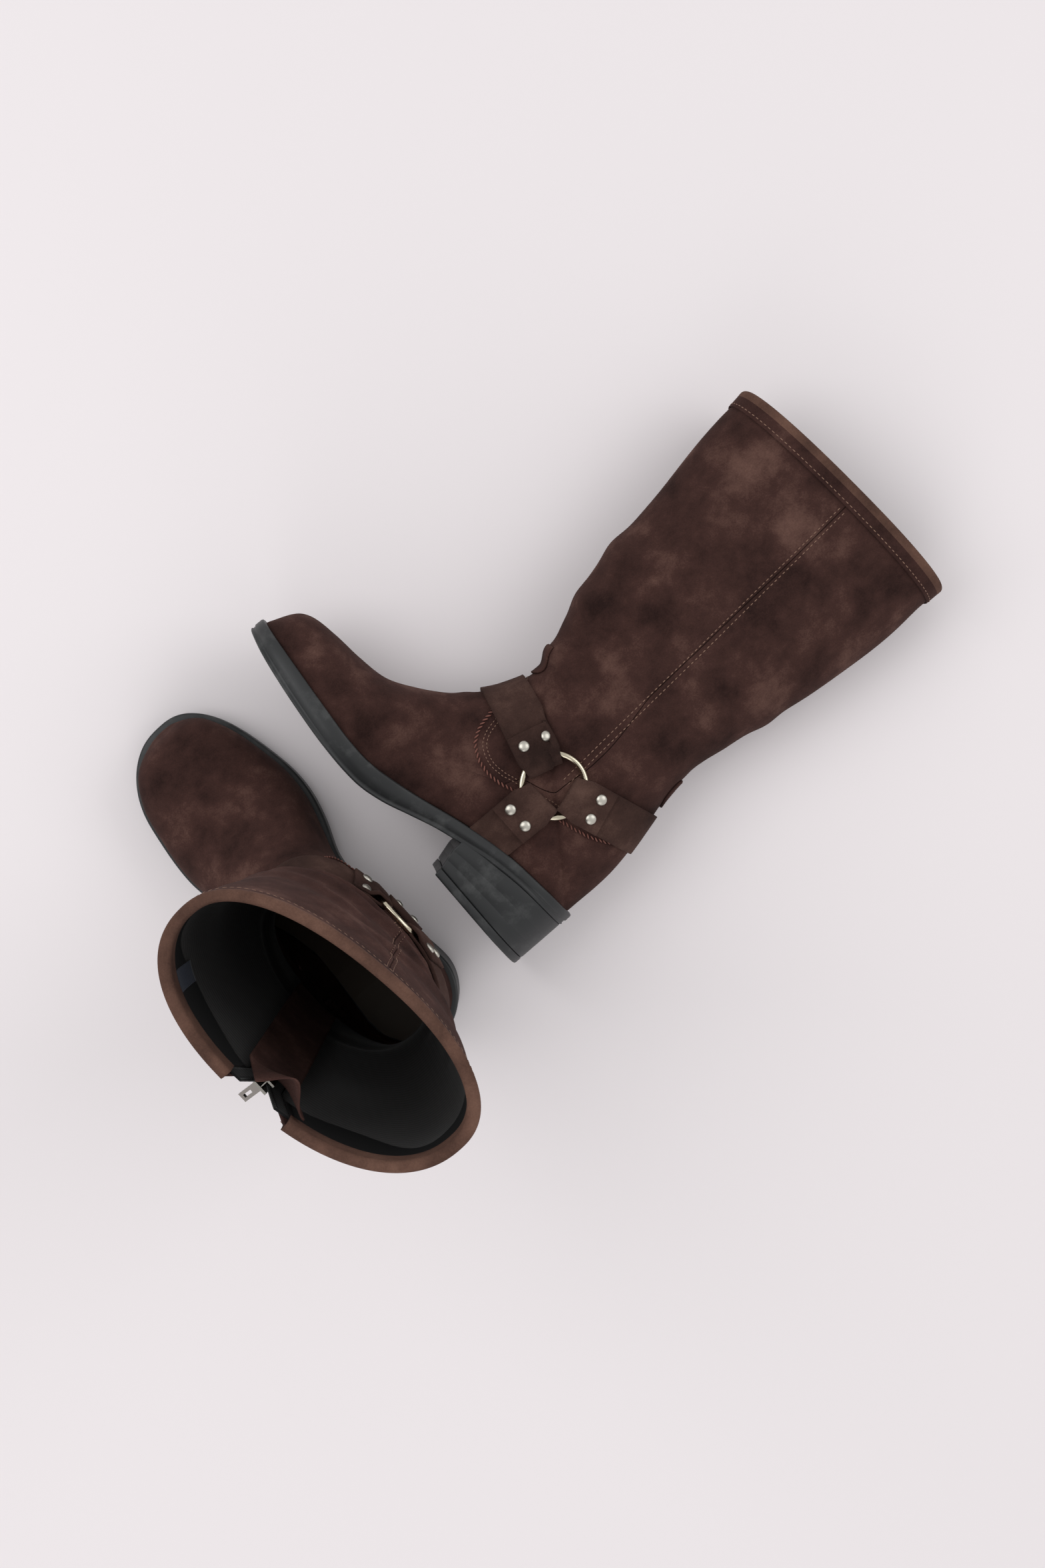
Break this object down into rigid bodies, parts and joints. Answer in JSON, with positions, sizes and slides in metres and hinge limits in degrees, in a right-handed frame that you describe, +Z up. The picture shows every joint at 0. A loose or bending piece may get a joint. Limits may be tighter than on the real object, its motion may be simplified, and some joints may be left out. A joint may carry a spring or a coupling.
{
  "type": "riding boots",
  "caption": "Pair of tall suede harness boots with ringed ankle straps, inner zips and stacked block heels; one stands and one lies on its side.",
  "frame": {"origin": "the middle of the right heel's base, on the surface that the pair stands on", "axes": "+X from the right boot to its outer side and along the left boot's lying shaft, +Y towards both toes, +Z up"},
  "size_m": [0.5363, 0.3203, 0.3894],
  "materials": {
    "suede": "napped suede, matt",
    "strap": "napped suede, smoother, matt",
    "binding": "suede edge binding, lighter nap",
    "rubber": "black moulded rubber, soft sheen",
    "board": "pressed leather board",
    "bed": "smooth lining leather",
    "steel": "plain spring steel",
    "lining": "dark woven textile",
    "tape": "black zip tape with coil teeth",
    "metal": "dark polished nickel",
    "ring": "polished pale nickel",
    "rivet": "satin nickel"
  },
  "bodies": {
    "right_boot": {"right_outsole": "rubber", "right_heel_block": "rubber", "right_heel_cap": "rubber", "right_shank": "steel", "right_insole_board": "board", "right_footbed": "bed", "right_foot_upper": "suede", "right_shaft_front": "suede", "right_shaft_back": "suede", "right_shaft_lining": "lining", "right_top_binding": "binding", "right_zip_front": "tape", "right_zip_back": "tape", "right_zip_guard": "suede", "right_front_tab": "suede", "right_back_tab": "suede", "right_strap_front": "strap", "right_strap_rear": "strap", "right_strap_lateral": "strap", "right_strap_medial": "strap", "right_rivet_front_low": "rivet", "right_rivet_front_high": "rivet", "right_rivet_rear_low": "rivet", "right_rivet_rear_high": "rivet", "right_rivet_down_low": "rivet", "right_rivet_down_high": "rivet"},
    "right_ring_lateral_body": {"right_ring_lateral": "ring"},
    "right_ring_medial_body": {"right_ring_medial": "ring"},
    "right_zip_slider_body": {"right_zip_slider": "metal"},
    "right_zip_pull_body": {"right_zip_pull": "metal"},
    "left_boot": {"left_outsole": "rubber", "left_heel_block": "rubber", "left_heel_cap": "rubber", "left_shank": "steel", "left_insole_board": "board", "left_footbed": "bed", "left_foot_upper": "suede", "left_shaft_front": "suede", "left_shaft_back": "suede", "left_shaft_lining": "lining", "left_top_binding": "binding", "left_zip_front": "tape", "left_zip_back": "tape", "left_zip_guard": "suede", "left_front_tab": "suede", "left_back_tab": "suede", "left_strap_front": "strap", "left_strap_rear": "strap", "left_strap_lateral": "strap", "left_strap_medial": "strap", "left_rivet_front_low": "rivet", "left_rivet_front_high": "rivet", "left_rivet_rear_low": "rivet", "left_rivet_rear_high": "rivet", "left_rivet_down_low": "rivet", "left_rivet_down_high": "rivet"},
    "left_ring_lateral_body": {"left_ring_lateral": "ring"},
    "left_ring_medial_body": {"left_ring_medial": "ring"},
    "left_zip_slider_body": {"left_zip_slider": "metal"},
    "left_zip_pull_body": {"left_zip_pull": "metal"}
  },
  "joints": [
    {"name": "left_boot_lift", "type": "slide", "parent": "right_boot", "child": "left_boot", "axis": [0, 0, 1], "range_m": [0, 0.3]},
    {"name": "right_ring_lateral_spin", "type": "hinge", "parent": "right_boot", "child": "right_ring_lateral_body", "pos_m": [0.03981, 0.035, 0.099], "axis": [1, 0, 0], "continuous": true},
    {"name": "right_ring_medial_spin", "type": "hinge", "parent": "right_boot", "child": "right_ring_medial_body", "pos_m": [-0.03973, 0.035, 0.099], "axis": [1, 0, 0], "continuous": true},
    {"name": "right_zip_slide", "type": "slide", "parent": "right_boot", "child": "right_zip_slider_body", "axis": [-0.1111, -0.06, 0.992], "range_m": [-0.156, 0.022]},
    {"name": "right_zip_pull_flip", "type": "hinge", "parent": "right_zip_slider_body", "child": "right_zip_pull_body", "pos_m": [-0.05716, 0.021, 0.33592], "axis": [0, 0.9982, 0.0603], "range_deg": [-50, 70]},
    {"name": "left_ring_lateral_spin", "type": "hinge", "parent": "left_boot", "child": "left_ring_lateral_body", "pos_m": [0.17337, 0.02952, 0.08572], "axis": [-0.0038, 0.1, -0.995], "continuous": true},
    {"name": "left_ring_medial_spin", "type": "hinge", "parent": "left_boot", "child": "left_ring_medial_body", "pos_m": [0.17306, 0.03748, 0.00657], "axis": [-0.0038, 0.1, -0.995], "continuous": true},
    {"name": "left_zip_slide", "type": "slide", "parent": "left_boot", "child": "left_zip_slider_body", "axis": [0.9987, 0.0362, -0.0348], "range_m": [-0.177, 0]},
    {"name": "left_zip_pull_flip", "type": "hinge", "parent": "left_zip_slider_body", "child": "left_zip_pull_body", "pos_m": [0.43229, 0.04197, 0.0026], "axis": [0.0325, -0.9944, -0.1001], "range_deg": [0, 120]}
  ]
}
